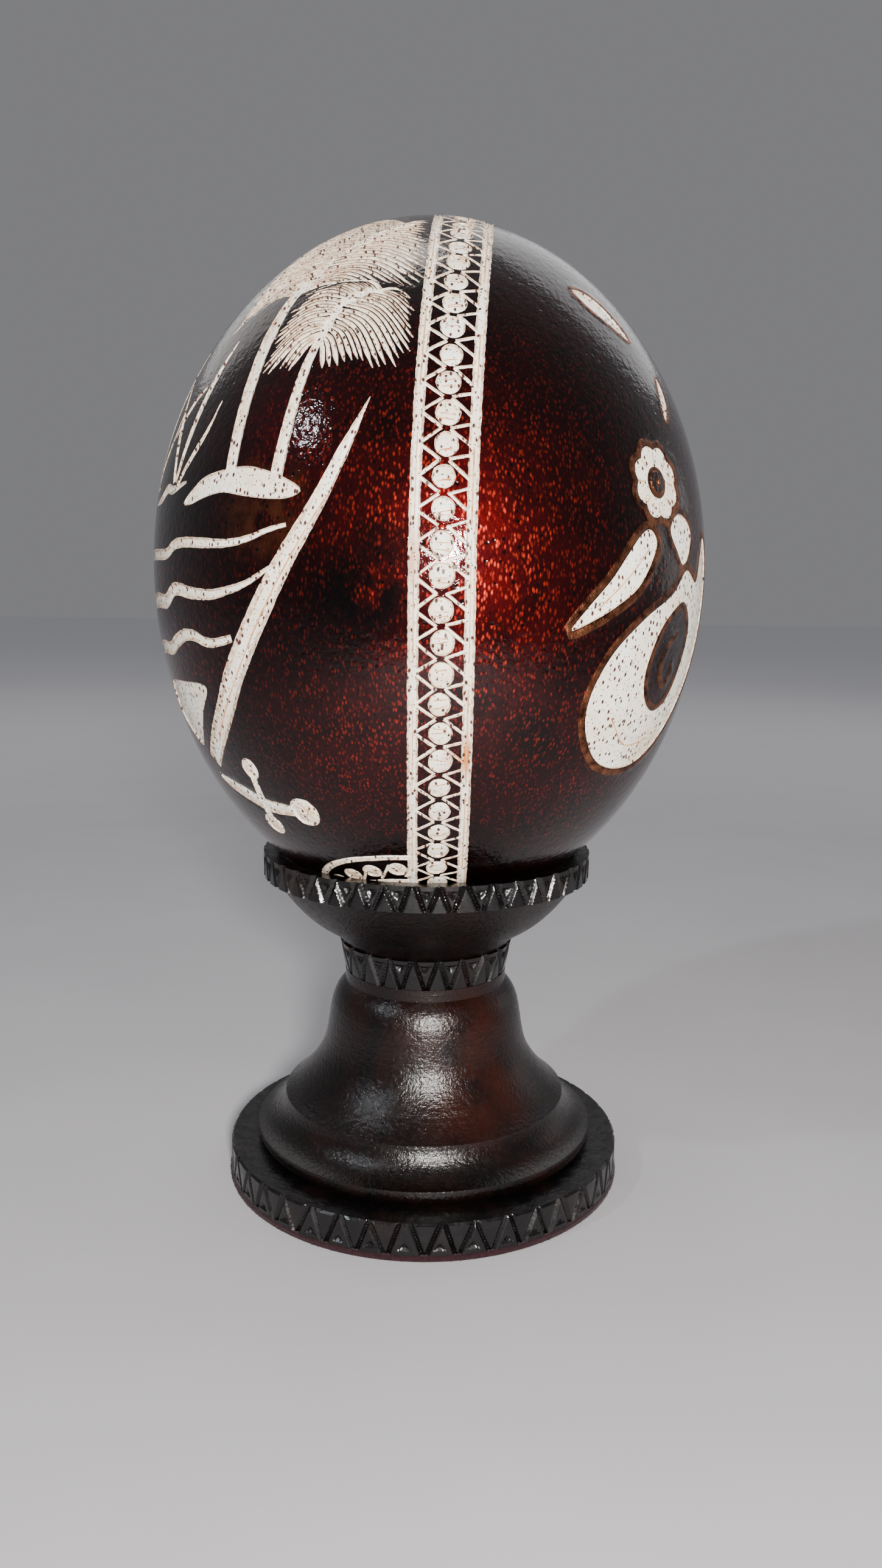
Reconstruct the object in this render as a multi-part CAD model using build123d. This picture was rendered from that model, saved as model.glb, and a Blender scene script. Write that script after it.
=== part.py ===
from build123d import *
import math
import os

# An engraved ostrich egg that rests in a turned wooden cup stand. Lengths are in millimetres.
# The origin is at the middle of the underside, on the surface that the stand rests on, and +Z is up
# along the common axis of egg and stand.

# Egg: an oval of revolution about +Z, a little fuller above its widest level than below it
EGG_RADIUS = 63.5
EGG_WIDEST_Z = 147.5
EGG_RISE = 77.9
EGG_DROP = 80.3
EGG_TAPER = 1.035
SHELL_THICKNESS = 2.0
BLOW_HOLE_RADIUS = 5.0
BUNG_LENGTH = 9.0
BUNG_CHAMFER = 0.6
EGG_PROFILE_STEPS = 24

# Stand: heights of the joints between its stacked pieces, from the table upwards
FELT_TOP_Z = 1.4
BASE_TOP_Z = 8.8
BELL_TOP_Z = 51.4
COLLAR_TOP_Z = 58.8
BOWL_TOP_Z = 75.9
RIM_TOP_Z = 81.7

# Stand: radii
FELT_RADIUS = 48.8
BASE_RADIUS = 48.5
BASE_EDGE = 0.5
LIP_RADIUS = 41.7
LIP_TOP_Z = 12.6
LIP_FOOT_RADIUS = 40.2
BEAD_TOP_RADIUS = 34.9
BEAD_TOP_Z = 20.0
BEAD_BULGE = 1.5
COLLAR_BOTTOM_RADIUS = 19.8
COLLAR_TOP_RADIUS = 21.2
BOWL_FOOT_RADIUS = 20.4
BOWL_RIM_RADIUS = 37.4
RIM_RADIUS = 39.7
RIM_MOUTH_RADIUS = 36.2

# Flank of the bell above its bead, as (radius, height): it flares, then turns in at a rounded shoulder
BELL_FLANK = [(28.8, 26.0), (25.4, 32.0), (23.8, 40.0), (22.8, 44.4)]
BELL_NECK_RADIUS = 19.9
BELL_NECK_Z = 48.6

# Outside of the bowl between its foot and its rim, as (radius, height)
BOWL_FLANK = [(23.8, 62.0), (27.6, 64.5), (31.2, 67.7), (34.2, 71.2)]

# Inside of the cup: a flat floor, a round hollow, and a conical seat that is tangent to the egg
CUP_FLOOR_Z = 62.0
CUP_FLOOR_RADIUS = 14.0
SEAT_CONTACT_Z = 76.5
SEAT_INNER_RADIUS = 24.0
SEAT_FELT_INNER_RADIUS = 24.6
SEAT_FELT_OUTER_RADIUS = 35.7
SEAT_FELT_THICKNESS = 1.5
SEAT_CLEARANCE = 0.3
CUP_HOLLOW_BULGE = 2.2

# Dowel and screw that hold the stand together
DOWEL_RADIUS = 7.0
DOWEL_BOTTOM_Z = 38.0
DOWEL_CHAMFER = 0.8
SCREW_HEAD_RADIUS = 4.0
SCREW_HEAD_HEIGHT = 2.4
SCREW_SHANK_RADIUS = 2.0
SCREW_CORE_RADIUS = 1.4
SCREW_LENGTH = 30.0
SCREW_THREAD_PITCH = 1.8
SCREW_THREAD_TURNS = 10
SCREW_TIP_LENGTH = 3.0
SCREW_SLOT_WIDTH = 1.0
SCREW_SLOT_LENGTH = 4.2
SCREW_SLOT_DEPTH = 1.6
SCREW_HOLE_RADIUS = 2.2
PILOT_RADIUS = 1.6

# Chip carving: zigzags of V-shaped grooves round three edges, with a thumbnail gouge in each triangle
RIM_PERIODS = 42
COLLAR_PERIODS = 22
BASE_PERIODS = 40
GROOVE_HALF_WIDTH = 0.8
GROOVE_DEPTH = 0.8
GROOVE_OVERSHOOT = 0.6
GOUGE_RADIUS = 1.6
GOUGE_DEPTH = 0.5


def egg_point(angle, inset=0.0):
    """Point (radius, height) of the egg's profile at a latitude in radians, inset from the outside."""
    half_height = EGG_RISE if angle > 0 else EGG_DROP
    radius = (EGG_RADIUS - inset) * max(math.cos(angle), 0.0) ** EGG_TAPER
    return radius, EGG_WIDEST_Z + (half_height - inset) * math.sin(angle)


def egg_solid(inset=0.0):
    """Solid egg, with its surface inset from the outside."""
    angles = [-math.pi / 2 + math.pi * i / EGG_PROFILE_STEPS for i in range(EGG_PROFILE_STEPS + 1)]
    points = [egg_point(angle, inset) for angle in angles]
    points[0] = (0.0, points[0][1])
    points[-1] = (0.0, points[-1][1])
    side = Spline(*points)
    axis = Line(points[-1], points[0])
    return turned(make_face([side, axis]))


def turned(face):
    """Solid made by turning a half section, drawn as (radius, height), about the +Z axis."""
    return revolve(Plane.XZ * face, Axis.Z, 360)


def seat_tangent():
    """Contact radius of the egg on its seat, and the seat's rise per millimetre of radius."""
    sine = (EGG_WIDEST_Z - SEAT_CONTACT_Z) / EGG_DROP
    cosine = math.sqrt(1 - sine ** 2)
    slope_radius = EGG_RADIUS * EGG_TAPER * cosine ** (EGG_TAPER - 1) * sine
    return EGG_RADIUS * cosine ** EGG_TAPER, EGG_DROP * cosine / slope_radius


SEAT_CONTACT_RADIUS, SEAT_SLOPE = seat_tangent()
SEAT_COSINE = 1 / math.hypot(1, SEAT_SLOPE)
FELT_DROP = SEAT_CLEARANCE / SEAT_COSINE
WOOD_DROP = (2 * SEAT_CLEARANCE + SEAT_FELT_THICKNESS) / SEAT_COSINE


def seat_height(radius, drop):
    """Height at a radius of the cone that lies a drop below the one the egg would touch."""
    return SEAT_CONTACT_Z + (radius - SEAT_CONTACT_RADIUS) * SEAT_SLOPE - drop


def seat_radius(height, drop):
    """Radius at which that cone reaches a height."""
    return SEAT_CONTACT_RADIUS + (height - SEAT_CONTACT_Z + drop) / SEAT_SLOPE


def groove(start, end):
    """V-shaped cutter along a line between two points on a carved wall."""
    outward = Vector(start.X + end.X, start.Y + end.Y, 0).normalized()
    along = (end - start).normalized()
    origin = start - along * GROOVE_OVERSHOOT
    section = Polygon(
        (-GROOVE_DEPTH, 0),
        (GROOVE_OVERSHOOT, -GROOVE_HALF_WIDTH),
        (GROOVE_OVERSHOOT, GROOVE_HALF_WIDTH),
        align=None,
    )
    plane = Plane(origin=origin, x_dir=outward, z_dir=along)
    return extrude(plane * section, (end - start).length + 2 * GROOVE_OVERSHOOT)


def wall_point(radius, angle, height):
    """Point on a round wall, with its angle in degrees."""
    turn = math.radians(angle)
    return Vector(radius * math.cos(turn), radius * math.sin(turn), height)


def carved(wall, periods, bottom, top, gouge_height):
    """A ring with a zigzag of grooves between (radius, height) bottom and top, and one gouge per period."""
    step = 360 / periods
    down = groove(wall_point(top[0], 0, top[1]), wall_point(bottom[0], step / 2, bottom[1]))
    up = groove(wall_point(bottom[0], step / 2, bottom[1]), wall_point(top[0], step, top[1]))
    share = (gouge_height - bottom[1]) / (top[1] - bottom[1])
    gouge_radius = bottom[0] + share * (top[0] - bottom[0])
    gouge_angle = step / 2 if share > 0.5 else 0
    centre = wall_point(gouge_radius + GOUGE_RADIUS - GOUGE_DEPTH, gouge_angle, gouge_height)
    gouge = Pos(centre) * Sphere(GOUGE_RADIUS)
    for cutter in (down, up, gouge):
        wall = wall - [Rot(0, 0, step * i) * cutter for i in range(periods)]
    return wall


def egg_shell():
    """Hollow shell with the blow hole in its lower end."""
    hole = Pos(0, 0, EGG_WIDEST_Z - EGG_DROP) * Cylinder(BLOW_HOLE_RADIUS, 4 * SHELL_THICKNESS)
    return egg_solid() - egg_solid(SHELL_THICKNESS) - hole


def blow_hole_bung():
    """Cork that fills the blow hole, flush with the shell's lowest edge."""
    edge_angle = -math.acos((BLOW_HOLE_RADIUS / EGG_RADIUS) ** (1 / EGG_TAPER))
    outer_end = egg_point(edge_angle)[1]
    cork = Pos(0, 0, outer_end + BUNG_LENGTH / 2) * Cylinder(BLOW_HOLE_RADIUS, BUNG_LENGTH)
    return chamfer(cork.edges().filter_by(GeomType.CIRCLE), BUNG_CHAMFER)


def seat_felt():
    """Conical felt ring between the egg and the wooden seat, clear of both."""
    thickness = SEAT_FELT_THICKNESS / SEAT_COSINE
    inner = SEAT_FELT_INNER_RADIUS
    outer = SEAT_FELT_OUTER_RADIUS
    section = Polygon(
        (inner, seat_height(inner, FELT_DROP) - thickness),
        (outer, seat_height(outer, FELT_DROP) - thickness),
        (outer, seat_height(outer, FELT_DROP)),
        (inner, seat_height(inner, FELT_DROP)),
        align=None,
    )
    return turned(section)


def rim_ring():
    """Carved ring round the mouth of the cup, with the top of the seat cone inside it."""
    section = Polygon(
        (seat_radius(BOWL_TOP_Z, WOOD_DROP), BOWL_TOP_Z),
        (RIM_RADIUS, BOWL_TOP_Z),
        (RIM_RADIUS, RIM_TOP_Z),
        (RIM_MOUTH_RADIUS, RIM_TOP_Z),
        (RIM_MOUTH_RADIUS, seat_height(RIM_MOUTH_RADIUS, WOOD_DROP)),
        align=None,
    )
    gouge_height = RIM_TOP_Z - GOUGE_RADIUS
    return carved(turned(section), RIM_PERIODS, (RIM_RADIUS, BOWL_TOP_Z), (RIM_RADIUS, RIM_TOP_Z), gouge_height)


def cup_bowl():
    """Rounded bowl, open at the top, with a through hole for the dowel in its floor."""
    seat_top = (seat_radius(BOWL_TOP_Z, WOOD_DROP), BOWL_TOP_Z)
    seat_foot = (SEAT_INNER_RADIUS, seat_height(SEAT_INNER_RADIUS, WOOD_DROP))
    floor_edge = (CUP_FLOOR_RADIUS, CUP_FLOOR_Z)
    outside = Spline((BOWL_FOOT_RADIUS, COLLAR_TOP_Z), *BOWL_FLANK, (BOWL_RIM_RADIUS, BOWL_TOP_Z))
    section = make_face([
        Line((DOWEL_RADIUS, COLLAR_TOP_Z), (BOWL_FOOT_RADIUS, COLLAR_TOP_Z)),
        outside,
        Line((BOWL_RIM_RADIUS, BOWL_TOP_Z), seat_top),
        Line(seat_top, seat_foot),
        SagittaArc(seat_foot, floor_edge, -CUP_HOLLOW_BULGE),
        Line(floor_edge, (DOWEL_RADIUS, CUP_FLOOR_Z)),
        Line((DOWEL_RADIUS, CUP_FLOOR_Z), (DOWEL_RADIUS, COLLAR_TOP_Z)),
    ])
    return turned(section)


def neck_collar():
    """Carved, slightly flaring ring between the bell and the bowl."""
    section = Polygon(
        (DOWEL_RADIUS, BELL_TOP_Z),
        (COLLAR_BOTTOM_RADIUS, BELL_TOP_Z),
        (COLLAR_TOP_RADIUS, COLLAR_TOP_Z),
        (DOWEL_RADIUS, COLLAR_TOP_Z),
        align=None,
    )
    bottom = (COLLAR_BOTTOM_RADIUS, BELL_TOP_Z)
    top = (COLLAR_TOP_RADIUS, COLLAR_TOP_Z)
    return carved(turned(section), COLLAR_PERIODS, bottom, top, COLLAR_TOP_Z - GOUGE_RADIUS)


def neck_dowel():
    """Dowel from the bell's socket through the collar to the floor of the bowl."""
    length = CUP_FLOOR_Z - DOWEL_BOTTOM_Z
    peg = Pos(0, 0, DOWEL_BOTTOM_Z + length / 2) * Cylinder(DOWEL_RADIUS, length)
    return chamfer(peg.edges().filter_by(GeomType.CIRCLE).sort_by(Axis.Z)[0], DOWEL_CHAMFER)


def bell_pedestal():
    """Bell-shaped foot: lip, bead, flared flank and shoulder, with a dowel socket and a pilot hole."""
    lip_top = (LIP_RADIUS, LIP_TOP_Z)
    bead_top = (BEAD_TOP_RADIUS, BEAD_TOP_Z)
    neck = (BELL_NECK_RADIUS, BELL_NECK_Z)
    section = make_face([
        Line((0, BASE_TOP_Z), (LIP_FOOT_RADIUS, BASE_TOP_Z)),
        ThreePointArc((LIP_FOOT_RADIUS, BASE_TOP_Z), (LIP_RADIUS, (BASE_TOP_Z + LIP_TOP_Z) / 2), lip_top),
        SagittaArc(lip_top, bead_top, BEAD_BULGE),
        Spline(bead_top, *BELL_FLANK, neck),
        Line(neck, (BELL_NECK_RADIUS, BELL_TOP_Z)),
        Line((BELL_NECK_RADIUS, BELL_TOP_Z), (0, BELL_TOP_Z)),
        Line((0, BELL_TOP_Z), (0, BASE_TOP_Z)),
    ])
    socket_depth = BELL_TOP_Z - DOWEL_BOTTOM_Z
    socket = Pos(0, 0, BELL_TOP_Z - socket_depth / 2) * Cylinder(DOWEL_RADIUS, socket_depth)
    pilot_depth = FELT_TOP_Z + SCREW_LENGTH - BASE_TOP_Z
    pilot = Pos(0, 0, BASE_TOP_Z + pilot_depth / 2) * Cylinder(PILOT_RADIUS, pilot_depth)
    return turned(section) - socket - pilot


def base_disc():
    """Base plate with a carved edge and a countersunk hole for the screw."""
    thickness = BASE_TOP_Z - FELT_TOP_Z
    plate = Pos(0, 0, FELT_TOP_Z + thickness / 2) * Cylinder(BASE_RADIUS, thickness)
    plate = fillet(plate.edges().filter_by(GeomType.CIRCLE).sort_by(Axis.Z)[-1], BASE_EDGE)
    hole = Pos(0, 0, FELT_TOP_Z + thickness / 2) * Cylinder(SCREW_HOLE_RADIUS, thickness)
    countersink = turned(screw_head_section(SCREW_HOLE_RADIUS))
    wall = (BASE_RADIUS, FELT_TOP_Z)
    edge = (BASE_RADIUS, BASE_TOP_Z)
    return carved(plate - hole - countersink, BASE_PERIODS, wall, edge, FELT_TOP_Z + GOUGE_RADIUS)


def screw_head_section(neck_radius):
    """Half section of a countersunk head, flush with the underside of the base disc."""
    return Polygon(
        (0, FELT_TOP_Z),
        (SCREW_HEAD_RADIUS, FELT_TOP_Z),
        (neck_radius, FELT_TOP_Z + SCREW_HEAD_HEIGHT),
        (0, FELT_TOP_Z + SCREW_HEAD_HEIGHT),
        align=None,
    )


def base_screw():
    """Countersunk wood screw with a cross recess and a ridged thread."""
    tip_z = FELT_TOP_Z + SCREW_LENGTH
    thread_top = tip_z - SCREW_TIP_LENGTH
    thread_foot = thread_top - SCREW_THREAD_PITCH * SCREW_THREAD_TURNS
    outline = [(0, FELT_TOP_Z), (SCREW_HEAD_RADIUS, FELT_TOP_Z)]
    outline.append((SCREW_SHANK_RADIUS, FELT_TOP_Z + SCREW_HEAD_HEIGHT))
    outline.append((SCREW_SHANK_RADIUS, thread_foot - SCREW_THREAD_PITCH))
    for turn in range(SCREW_THREAD_TURNS):
        foot = thread_foot + turn * SCREW_THREAD_PITCH
        outline.append((SCREW_CORE_RADIUS, foot))
        outline.append((SCREW_SHANK_RADIUS, foot + SCREW_THREAD_PITCH / 2))
    outline.append((SCREW_CORE_RADIUS, thread_top))
    outline.append((0, tip_z))
    recess_centre = FELT_TOP_Z + SCREW_SLOT_DEPTH / 2
    slot = Pos(0, 0, recess_centre) * Box(SCREW_SLOT_LENGTH, SCREW_SLOT_WIDTH, SCREW_SLOT_DEPTH)
    return turned(Polygon(*outline, align=None)) - slot - Rot(0, 0, 90) * slot


def felt_pad():
    """Felt disc under the base, a little wider than the base."""
    return Pos(0, 0, FELT_TOP_Z / 2) * Cylinder(FELT_RADIUS, FELT_TOP_Z)


PIECES = [
    egg_shell,
    blow_hole_bung,
    seat_felt,
    rim_ring,
    cup_bowl,
    neck_collar,
    neck_dowel,
    bell_pedestal,
    base_disc,
    base_screw,
    felt_pad,
]

os.makedirs("parts", exist_ok=True)
for piece in PIECES:
    solid = piece()
    solid.label = piece.__name__
    export_step(solid, f"parts/{piece.__name__}.step")
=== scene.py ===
import math
from collections import namedtuple

import bpy
import numpy as np
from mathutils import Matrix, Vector
from mathutils.geometry import delaunay_2d_cdt
from mathutils.kdtree import KDTree


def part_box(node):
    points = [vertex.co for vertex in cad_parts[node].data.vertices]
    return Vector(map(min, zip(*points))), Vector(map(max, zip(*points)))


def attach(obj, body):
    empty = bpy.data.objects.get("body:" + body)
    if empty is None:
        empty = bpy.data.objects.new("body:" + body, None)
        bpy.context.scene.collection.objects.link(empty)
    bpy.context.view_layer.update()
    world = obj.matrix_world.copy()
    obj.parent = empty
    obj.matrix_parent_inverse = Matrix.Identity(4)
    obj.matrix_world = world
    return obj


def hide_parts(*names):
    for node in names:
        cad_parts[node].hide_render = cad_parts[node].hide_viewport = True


# Lengths in this script are millimetres on the real object, and become metres when a mesh is made.
# A place on the egg is (azimuth in degrees, height along the shell from its widest level in mm).
# Azimuth 0 faces -Y, the front, and grows towards +X.

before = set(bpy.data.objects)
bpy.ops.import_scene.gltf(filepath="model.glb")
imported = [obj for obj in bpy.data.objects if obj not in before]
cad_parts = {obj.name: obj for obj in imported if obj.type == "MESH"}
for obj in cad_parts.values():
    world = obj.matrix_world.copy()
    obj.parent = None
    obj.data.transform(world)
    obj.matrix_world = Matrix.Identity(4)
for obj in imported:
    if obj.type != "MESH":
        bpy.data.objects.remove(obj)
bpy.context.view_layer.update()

MM = 0.001
RANDOM = np.random.RandomState(20)


def box_mm(node):
    """Lowest and highest corner of a CAD node, in millimetres."""
    low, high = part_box(node)
    return np.array(low) / MM, np.array(high) / MM


def circle(sides):
    """Even turns round an axis, in radians."""
    return np.arange(sides) * 2 * math.pi / sides


def round_z(turn, r, z):
    """Points at turns round the Z axis, with radii and heights that may be numbers or arrays."""
    return np.stack([r * np.sin(turn), -r * np.cos(turn), turn * 0 + z], -1)


# ---- the egg's surface

class Egg:
    """The shell's outside, turned about +Z: radius r and height z at lengths w from its widest level."""

    RISE, DROP, TAPER = 77.9, 80.3, 1.035
    SAMPLES = 4001
    REACH = 0.05

    def __init__(self):
        low, high = box_mm("egg_shell")
        self.radius = (high[0] - low[0]) / 2
        self.middle = high[2] - self.RISE
        self.t = np.linspace(-math.pi / 2, math.pi / 2, self.SAMPLES)
        self.r, self.z = self.profile(self.t)
        self.w = np.r_[0, np.cumsum(np.hypot(np.diff(self.r), np.diff(self.z)))]
        middle = np.maximum((self.r[1:] + self.r[:-1]) / 2, 0.02)
        self.q = np.r_[0, np.cumsum(np.diff(self.w) / middle)]
        self.w -= np.interp(0, self.t, self.w)
        self.q -= np.interp(0, self.w, self.q)

    def profile(self, t, inset=0):
        """Radius and height at t, from -pi/2 at the lower pole to pi/2, for a shape inset all round."""
        half = np.where(t > 0, self.RISE, self.DROP) - inset
        radius = (self.radius - inset) * np.maximum(np.cos(t), 0) ** self.TAPER
        return radius, self.middle + half * np.sin(t)

    def place(self, turn, w):
        """Points in space at a turn in radians and a length."""
        return round_z(turn, np.interp(w, self.w, self.r), np.interp(w, self.w, self.z))

    def flat(self, turn, w):
        """The same points on a plane map that keeps angles: rings about its origin."""
        rho = np.exp(-np.interp(w, self.w, self.q))
        return np.stack([rho * np.sin(turn), rho * np.cos(turn)], -1)

    def unflat(self, uv):
        """Turn and length of points on the plane map."""
        rho = np.maximum(np.hypot(uv[:, 0], uv[:, 1]), 1e-12)
        return np.arctan2(uv[:, 0], uv[:, 1]), np.interp(-np.log(rho), self.q, self.w)

    def normal(self, turn, w):
        dr, dz = (np.interp(w + self.REACH, self.w, v) - np.interp(w - self.REACH, self.w, v)
                  for v in (self.r, self.z))
        size = np.maximum(np.hypot(dr, dz), 1e-9)
        return round_z(turn, dz / size, -dr / size)

    def spot(self, azimuth, w):
        """A point on the shell at an azimuth in degrees."""
        return self.place(np.radians(azimuth), w)

    def onto(self, points):
        """Turn and length of the places on the shell nearest to points in space."""
        x, y, rise = points[..., 0], points[..., 1], points[..., 2] - self.middle
        half = np.where(rise > 0, self.RISE, self.DROP)
        out = (np.hypot(x, y) / self.radius) ** (1 / self.TAPER)
        return np.arctan2(x, -y), np.interp(np.arctan2(rise / half, out), self.t, self.w)

    def snap(self, points):
        return self.place(*self.onto(points))


EGG = Egg()


# ---- lines

def measure(line):
    """Length along a line of points at each point."""
    return np.r_[0, np.cumsum(np.linalg.norm(np.diff(line, axis=0), axis=1))]


def between(wanted, along, line):
    """Rows of a line at wanted lengths, from its own rows at lengths along it."""
    return np.stack([np.interp(wanted, along, column) for column in line.T], -1)


def even(line, step):
    """The line with points about a step apart."""
    along = measure(line)
    count = max(int(round(along[-1] / step)), 2)
    return between(np.linspace(0, along[-1], count + 1), along, line)


def smooth(points, closed=False, steps=12):
    """A Catmull-Rom curve through points."""
    if closed:
        points = np.concatenate([points[-1:], points, points[:2]])
    else:
        points = np.concatenate([2 * points[:1] - points[1:2], points, 2 * points[-1:] - points[-2:-1]])
    t = np.linspace(0, 1, steps, endpoint=False)[:, None]
    curve = np.concatenate([
        0.5 * (2 * b + (c - a) * t + (2 * a - 5 * b + 4 * c - d) * t ** 2
               + (3 * b - a - 3 * c + d) * t ** 3)
        for a, b, c, d in zip(points[:-3], points[1:-2], points[2:-1], points[3:])])
    return curve if closed else np.concatenate([curve, points[-2:-1]])


def egg_curve(places, closed=False, step=0.9):
    """A smooth line on the shell through (azimuth, height) places."""
    spots = np.array([EGG.spot(a, w) for a, w in places])
    curve = smooth(spots, closed)
    if closed:
        curve = np.concatenate([curve, curve[:1]])
    curve = EGG.snap(even(EGG.snap(curve), step))
    return curve[:-1] if closed else curve


def sideways(line, closed=False):
    """Unit vectors in the shell, to the left of a line's direction."""
    ahead = np.roll(line, -1, 0) - np.roll(line, 1, 0)
    if not closed:
        ahead[0] = line[1] - line[0]
        ahead[-1] = line[-1] - line[-2]
    turn, w = EGG.onto(line)
    side = np.cross(EGG.normal(turn, w), ahead)
    return side / np.maximum(np.linalg.norm(side, axis=1, keepdims=True), 1e-9)


def wobble(count, size):
    """A hand's unevenness: small random offsets, one per point."""
    return RANDOM.uniform(-size, size, count)


def quads(a, b):
    """Quads between two rings of point numbers."""
    return list(zip(a, np.roll(a, -1), np.roll(b, -1), b))


def tube(count, sides, closed=True):
    """Quads between each of count rings of points and the next; closed joins the last to the first."""
    rows = np.arange(count * sides).reshape(count, sides)
    ends = zip(rows, np.roll(rows, -1, 0)) if closed else zip(rows[:-1], rows[1:])
    return [face for a, b in ends for face in quads(a, b)]


def compass(turn, w):
    """Unit vectors in the shell towards growing azimuth and towards the top, at one place."""
    east = np.array([math.cos(turn), math.sin(turn), 0])
    return east, np.cross(EGG.normal(turn, w), east)


def oval(centre, turn, w, angle, across, upward):
    """Points about a centre, at an angle from east and at distances towards east and north."""
    east, north = compass(turn, w)
    spread = np.outer(across * np.cos(angle), east) + np.outer(upward * np.sin(angle), north)
    return EGG.snap(centre + spread)


# ---- cuts

DYED, BARE, GILT, STAIN, WALL = 0, 1, 2, 3, 4


# One engraved mark: closed loops that bound it, lines inside it, and its depth below the surface
Cut = namedtuple("Cut", "loops lines depth_at finish")


def spine_distance(points, line, half):
    """Distance from points to a line, and the half width there, over its segments."""
    a, b = line[:-1], line[1:]
    ab = b - a
    size = np.maximum((ab ** 2).sum(1), 1e-12)
    ap = points[:, None, :] - a[None]
    t = np.clip((ap * ab[None]).sum(2) / size, 0, 1)
    gap = np.linalg.norm(ap - t[..., None] * ab[None], axis=2)
    nearest = gap.argmin(1)
    rows = np.arange(len(points))
    share = t[rows, nearest]
    return gap[rows, nearest], half[nearest] * (1 - share) + half[nearest + 1] * share


GROOVE_FLOOR = 0.55
RIDGE_SHARE = 0.4
SPAN = 24
FINE_WIDTH = 0.5


def stroke(line, width, depth=0.34, wander=0.06, crest=0.0, finish=BARE):
    """Cuts along a line on the shell, in short parts. width is a number, or numbers along its length.

    crest is the share of the depth that a ridge along the middle takes back, as two cuts side by side do.
    """
    along = measure(line) / max(measure(line)[-1], 1e-9)
    width = np.atleast_1d(np.asarray(width, float))
    half = np.interp(along, np.linspace(0, 1, len(width)), width) / 2
    side = sideways(line)
    rough = np.minimum(1, half * 4)
    left = line + side * (half + rough * wobble(len(line), wander))[:, None]
    right = line - side * (half + rough * wobble(len(line), wander))[:, None]
    made = []
    for start in range(0, len(line) - 1, SPAN):
        part = slice(start, min(start + SPAN, len(line) - 1) + 1)
        spine, reach = line[part], half[part]

        def depth_at(points, spine=spine, reach=reach):
            gap, here = spine_distance(points, spine, reach)
            share = gap / np.maximum(here, 1e-6)
            ridge = 1 - crest * np.clip(1 - share / RIDGE_SHARE, 0, 1)
            return depth * np.clip((1 - share) / (1 - GROOVE_FLOOR), 0, 1) * ridge

        inner = []
        if width.max() > FINE_WIDTH:
            inner = [line[part] + side[part] * (reach * GROOVE_FLOOR * s)[:, None] for s in (1, -1)]
        if crest:
            inner.append(line[part])
        loop = np.concatenate([left[part], right[part][::-1]])
        made.append(Cut([loop], inner, depth_at, finish))
    return made


def patch(loops, depth=0.32, wall=0.3, finish=BARE, dome=0.0, rings=()):
    """One cut, in a list, bounded by closed loops on the shell; a second loop is an island left inside it.

    dome is the share of the depth that its middle rises again, over a width of the largest of rings.
    """
    closed = [np.concatenate([loop, loop[:1]]) for loop in loops]

    def depth_at(points):
        gap = np.min([spine_distance(points, loop, np.zeros(len(loop)))[0] for loop in closed], axis=0)
        rise = np.clip((gap - wall) / (max(rings) - wall), 0, 1) if dome else gap * 0
        return depth * np.clip(gap / wall, 0, 1) * (1 - dome * (1 - (1 - rise) ** 2))

    lines = []
    for i, loop in enumerate(loops):
        inward = inside_sign(loop) * (1 if i == 0 else -1)
        for inset in (wall, *rings):
            ring = loop + sideways(loop, True) * inward * inset
            lines.append(np.concatenate([ring, ring[:1]]))
    return [Cut(loops, lines, depth_at, finish)]


def inside_sign(loop):
    """+1 where the inside of a loop is to the left of its direction, else -1."""
    middle = loop.mean(0)
    return 1.0 if ((middle - loop) * sideways(loop, True)).sum() > 0 else -1.0


def widened(loop, by):
    """A loop moved outward over the shell."""
    return EGG.snap(loop - sideways(loop, True) * inside_sign(loop) * by)


DOT_SIDES = 18


def dot(centre, radius, squash):
    """A round mark on the shell about a point, domed like a bead. squash is its height over its width."""
    turn, w = EGG.onto(centre)
    angle = np.linspace(0, 2 * math.pi, DOT_SIDES, endpoint=False)
    reach = radius * (1 + wobble(DOT_SIDES, 0.03))
    ring = oval(centre, turn, w, angle, reach, reach * squash)
    return patch([ring], depth=0.5, dome=0.8, rings=(radius * 0.36, radius * 0.66))


# ---- the engraved pictures

CUTS = []


def add(*marks):
    for mark in marks:
        CUTS.extend(mark)


def blade(places, width, step=0.9, **kind):
    """A stroke through (azimuth, height) places."""
    add(stroke(egg_curve(places, step=step), width, **kind))


def scratch(line, width, depth=0.3):
    """A thin line scored by a needle, with dye left in it."""
    add(stroke(line, width, depth, finish=STAIN, wander=0.02))


def shifted(places, by, flip=False):
    """The same places further round the egg, or mirrored about an azimuth."""
    return [((2 * by - a) if flip else (a + by), w) for a, w in places]


# The band that rings the egg from front to back over the top
BAND_HALF = 6.35
BORDER = 2.1
BEAD_PITCH = 6.05
BEAD_RADIUS = 2.35
BAND_END = -101
BAND_STEP = 0.75
BAND_ROWS = 260
LEAN, TOP_LEAN = 2.3, 4.6


def band_line():
    """Middle of the band, from the blow hole up the front, over the top and down the back."""
    rise = np.linspace(BAND_END, EGG.w[-1], BAND_ROWS)
    front = EGG.place(0.0, rise)
    back = EGG.place(math.pi, rise[::-1][1:])
    line = np.concatenate([front, back])
    line[:, 0] = LEAN + TOP_LEAN * np.clip((line[:, 2] - EGG.middle) / EGG.RISE, 0, 1) ** 2
    return EGG.snap(even(EGG.snap(line), BAND_STEP))


BAND = band_line()
BAND_ALONG = measure(BAND)
BAND_SIDE = -sideways(BAND)


def band_spot(along, across):
    """Points on the shell at a length along the band and a distance to the right of its middle."""
    side = between(along, BAND_ALONG, BAND_SIDE)
    return EGG.snap(between(along, BAND_ALONG, BAND) + side * np.asarray(across)[..., None])


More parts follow.
